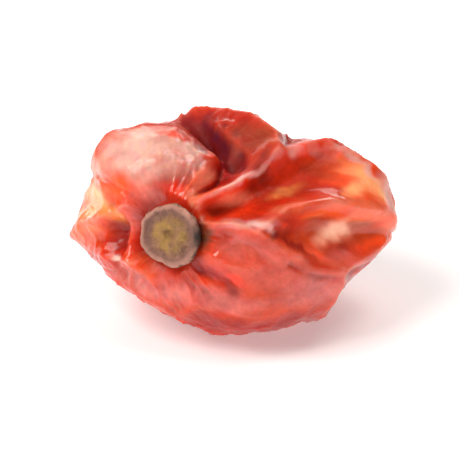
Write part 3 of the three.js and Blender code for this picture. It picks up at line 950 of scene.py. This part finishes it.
def skinMaterial():
    material, tree, shader = newMaterial("dried skin", skinFinish["sockets"])
    spot, shade, fine = grain(tree, skinFinish["grain"])
    colourAndPaintedLight = addNode(tree, "ShaderNodeAttribute", attribute_name="colourAndPaintedLight").outputs
    body = shaded(tree, colourAndPaintedLight["Color"], shade)
    # the skin gives off its colour times that share: a painted glow, though the fruit is no lamp
    tree.links.new(shaded(tree, body, colourAndPaintedLight["Alpha"]), shader.inputs["Emission Color"])

    cells = smallCells(tree, spot, skinFinish["pulpCells"])
    pulp = remap(tree, cells, skinFinish["pulpFrom"], (0.0, skinFinish["pulpShare"]))
    body = mixColour(tree, pulp, body, skinFinish["pulp"])
    # painted glow on raised places
    thinGlow = maths(tree, "MULTIPLY", mask(tree, "ridge"), skinFinish["thinGlowShare"])
    body = mixColour(tree, thinGlow, body, skinFinish["thinGlow"])
    # painted shade in the creases
    creaseShading = maths(tree, "MULTIPLY", mask(tree, "creaseShading"), skinFinish["creaseShadeShare"])
    body = mixColour(tree, creaseShading, body, skinFinish["fold"])
    # a broken line of paler skin and painted highlight along the crests
    broken = remap(tree, shade, skinFinish["crestHighlightFrom"], (0.0, skinFinish["crestHighlightShare"]))
    crestPaleAndHighlight = maths(tree, "MULTIPLY", mask(tree, "crestPaleAndHighlight"), broken)
    body = mixColour(tree, crestPaleAndHighlight, body, skinFinish["crestPaleAndHighlight"])
    tree.links.new(body, shader.inputs["Base Color"])

    # fine wrinkles from end to end, weaker on the smooth places
    lengthwise = addNode(tree, "ShaderNodeAttribute", attribute_name="lengthwise").outputs["Vector"]
    wrinkle = addNode(tree, "ShaderNodeTexNoise", {"Vector": lengthwise, **skinFinish["wrinkles"]},
                      noise_type="RIDGED_MULTIFRACTAL").outputs["Fac"]
    lively = maths(tree, "SUBTRACT", 1.0, mask(tree, "calm"))
    height = maths(tree, "ADD", maths(tree, "MULTIPLY", wrinkle, lively), fine)
    addBump(tree, shader, height, skinFinish["bump"])

    rough = remap(tree, shade, skinFinish["roughFrom"], skinFinish["roughness"])
    dull = mask(tree, "dull")
    rougher = maths(tree, "MULTIPLY", dull, skinFinish["dullRoughness"])
    tree.links.new(maths(tree, "ADD", rough, rougher), shader.inputs["Roughness"])
    wet = remap(tree, shade, skinFinish["wetFrom"], skinFinish["wet"])
    red = addNode(tree, "ShaderNodeSeparateColor", {"Color": colourAndPaintedLight["Color"]}).outputs["Red"]
    redWet = remap(tree, red, skinFinish["redFrom"], skinFinish["redWet"])
    film = maths(tree, "MULTIPLY", wet, redWet)
    coat = maths(tree, "MULTIPLY", film, maths(tree, "SUBTRACT", 1.0, dull))
    tree.links.new(coat, shader.inputs["Coat Weight"])
    return material


corkFinish = {
    "grain": (3200.0, 16000.0, 1.8),
    # colours from under the disc, over its wall and rim, to the middle of its face
    "stops": [(0.0, (0.05, 0.025, 0.015)), (0.22, (0.16, 0.07, 0.04)), (0.32, (0.56, 0.27, 0.20)),
              (0.38, (0.46, 0.22, 0.165)), (0.50, (0.25, 0.115, 0.085)),
              (0.62, (0.30, 0.145, 0.08)), (0.80, (0.33, 0.17, 0.07)), (1.0, (0.15, 0.065, 0.03))],
    "wander": 0.22,  # how far the rings stray
    "gold": (0.40, 0.22, 0.06, 1),  # crumbs of lighter cork in the middle
    "goldCells": 4200.0,
    "goldFrom": (0.55, 0.25),
    "middleFrom": (0.56, 0.7),
    # near black in the rim's crack: a dent in the rim with painted shadow in it
    "crackShadow": (0.03, 0.016, 0.012, 1),
    "bump": (0.8, 0.00003),
    "sockets": {"Roughness": 0.72},
}


def corkMaterial():
    material, tree, shader = newMaterial("disc cork", corkFinish["sockets"])
    spot, shade, fine = grain(tree, corkFinish["grain"])
    inward = mask(tree, "inward")
    stray = maths(tree, "MULTIPLY", maths(tree, "SUBTRACT", shade, 1.0), corkFinish["wander"])
    colour = ramp(tree, maths(tree, "ADD", inward, stray), corkFinish["stops"])
    crumb = remap(tree, smallCells(tree, spot, corkFinish["goldCells"]), corkFinish["goldFrom"])
    gold = maths(tree, "MULTIPLY", crumb, remap(tree, inward, corkFinish["middleFrom"]))
    colour = shaded(tree, mixColour(tree, gold, colour, corkFinish["gold"]), shade)
    # painted shadow in the rim's crack
    colour = mixColour(tree, mask(tree, "crackShadow"), colour, corkFinish["crackShadow"])
    tree.links.new(colour, shader.inputs["Base Color"])
    addBump(tree, shader, fine, corkFinish["bump"])
    return material


stalkFinish = {
    "grain": (3000.0, 14000.0, 1.6),
    "bark": (0.17, 0.085, 0.04, 1),
    "pale": (0.42, 0.27, 0.14, 1),
    "bump": (0.9, 0.00004),
    "sockets": {"Roughness": 0.8},
}


def stalkMaterial():
    material, tree, shader = newMaterial("stalk wood", stalkFinish["sockets"])
    _, shade, fine = grain(tree, stalkFinish["grain"])
    colour = mixColour(tree, fine, stalkFinish["bark"], stalkFinish["pale"])
    tree.links.new(shaded(tree, colour, shade), shader.inputs["Base Color"])
    addBump(tree, shader, fine, stalkFinish["bump"])
    return material


skin.data.materials.append(skinMaterial())
corkyDisc.data.materials.append(corkMaterial())
stalkEnd.data.materials.append(stalkMaterial())
print("finishes made")


studio = {
    "floorSize": 0.6,
    "floorSockets": {"Base Color": (0.9, 0.91, 0.95, 1), "Roughness": 0.9,
                     "Emission Color": (1, 1, 1, 1)},
    "floorGlow": (0.31, 1.0),  # how much the floor shines by the berry and far from it
    "floorGlowReach": 0.06,
    "skyAbove": 0.32,
    "skyLevel": 0.05,
    "skyFrom": 0.55,  # sine of the height at which the sky starts to brighten
    "backdrop": {"Color": (1, 1, 1, 1), "Strength": 1.0},
    "lampColour": (1.0, 0.95, 0.88, 1),
    "cameraElevation": 27.0,
    "cameraDistance": 0.075,
    "cameraNearest": 0.001,
    "viewWidth": 0.0118,
    "lookAt": (-0.00007, 0.0, 0.00228),
}

lamps = {
    # where each softbox stands, its width and height, and its power in watts
    "leftSoftbox": ((-0.06, -0.035, 0.085), 0.06, 0.055, 0.092),
    "rightSoftbox": ((0.035, -0.01, 0.10), 0.035, 0.035, 0.024),
    "backSoftbox": ((-0.01, 0.075, 0.05), 0.09, 0.04, 0.03),
}


def standAt(name, data, at):
    # a lamp or camera stood at a place and turned to look at the berry
    stand = addObject(name, data)
    stand.location = at
    aim = Vector(studio["lookAt"]) - Vector(at)
    stand.rotation_euler = aim.to_track_quat("-Z", "Y").to_euler()
    return stand


def makeFloor():
    # its shine: far - (far - near) * exp(-distance / reach)
    half = studio["floorSize"]
    corners = [(-half, -half, 0), (half, -half, 0), (half, half, 0), (-half, half, 0)]
    mesh = bpy.data.meshes.new("floor")
    mesh.from_pydata(corners, [], [(0, 1, 2, 3)])
    floor = addObject("floor", mesh)
    material, tree, shader = newMaterial("pale floor", studio["floorSockets"])
    spot = addNode(tree, "ShaderNodeTexCoord").outputs["Object"]
    away = addNode(tree, "ShaderNodeVectorMath", {0: spot}, operation="LENGTH").outputs["Value"]
    fading = maths(tree, "EXPONENT", maths(tree, "DIVIDE", away, -studio["floorGlowReach"]), 0.0)
    near, far = studio["floorGlow"]
    glow = maths(tree, "ADD", maths(tree, "MULTIPLY", fading, near - far), far)
    tree.links.new(glow, shader.inputs["Emission Strength"])
    mesh.materials.append(material)


def makeLamp(name, at, width, height, watts):
    lamp = bpy.data.lights.new(name, "AREA")
    lamp.shape = "RECTANGLE"
    lamp.size, lamp.size_y, lamp.energy = width, height, watts
    lamp.color = studio["lampColour"][:3]
    standAt(name, lamp, at)


def makeWorld():
    # bright overhead, dimmer towards the horizon; the backdrop itself shows white
    world = bpy.data.worlds.new("soft white room")
    world.use_nodes = True
    tree = world.node_tree
    sky = tree.nodes["Background"]
    way = addNode(tree, "ShaderNodeTexCoord").outputs["Generated"]
    height = addNode(tree, "ShaderNodeSeparateXYZ", {"Vector": way}).outputs["Z"]
    strength = remap(tree, height, (studio["skyFrom"], 1.0),
                     (studio["skyLevel"], studio["skyAbove"]), interpolation_type="SMOOTHSTEP")
    tree.links.new(strength, sky.inputs["Strength"])
    sky.inputs["Color"].default_value = studio["lampColour"]
    backdrop = addNode(tree, "ShaderNodeBackground", studio["backdrop"]).outputs[0]
    seen = addNode(tree, "ShaderNodeLightPath").outputs["Is Camera Ray"]
    both = addNode(tree, "ShaderNodeMixShader", {0: seen, 1: sky.outputs[0], 2: backdrop})
    tree.links.new(both.outputs[0], tree.nodes["World Output"].inputs["Surface"])
    bpy.context.scene.world = world


def makeCamera():
    # stood back from the berry by its distance, raised by its elevation
    tilt = np.radians(studio["cameraElevation"])
    camera = bpy.data.cameras.new("camera")
    camera.lens = camera.sensor_width * studio["cameraDistance"] / studio["viewWidth"]
    camera.clip_start = studio["cameraNearest"]
    back = Vector((0, -np.cos(tilt), np.sin(tilt))) * studio["cameraDistance"]
    bpy.context.scene.camera = standAt("camera", camera, Vector(studio["lookAt"]) + back)


makeFloor()
for name, settings in lamps.items():
    makeLamp(name, *settings)
makeWorld()
makeCamera()
bpy.context.scene.view_settings.view_transform = "Standard"
print("studio made")
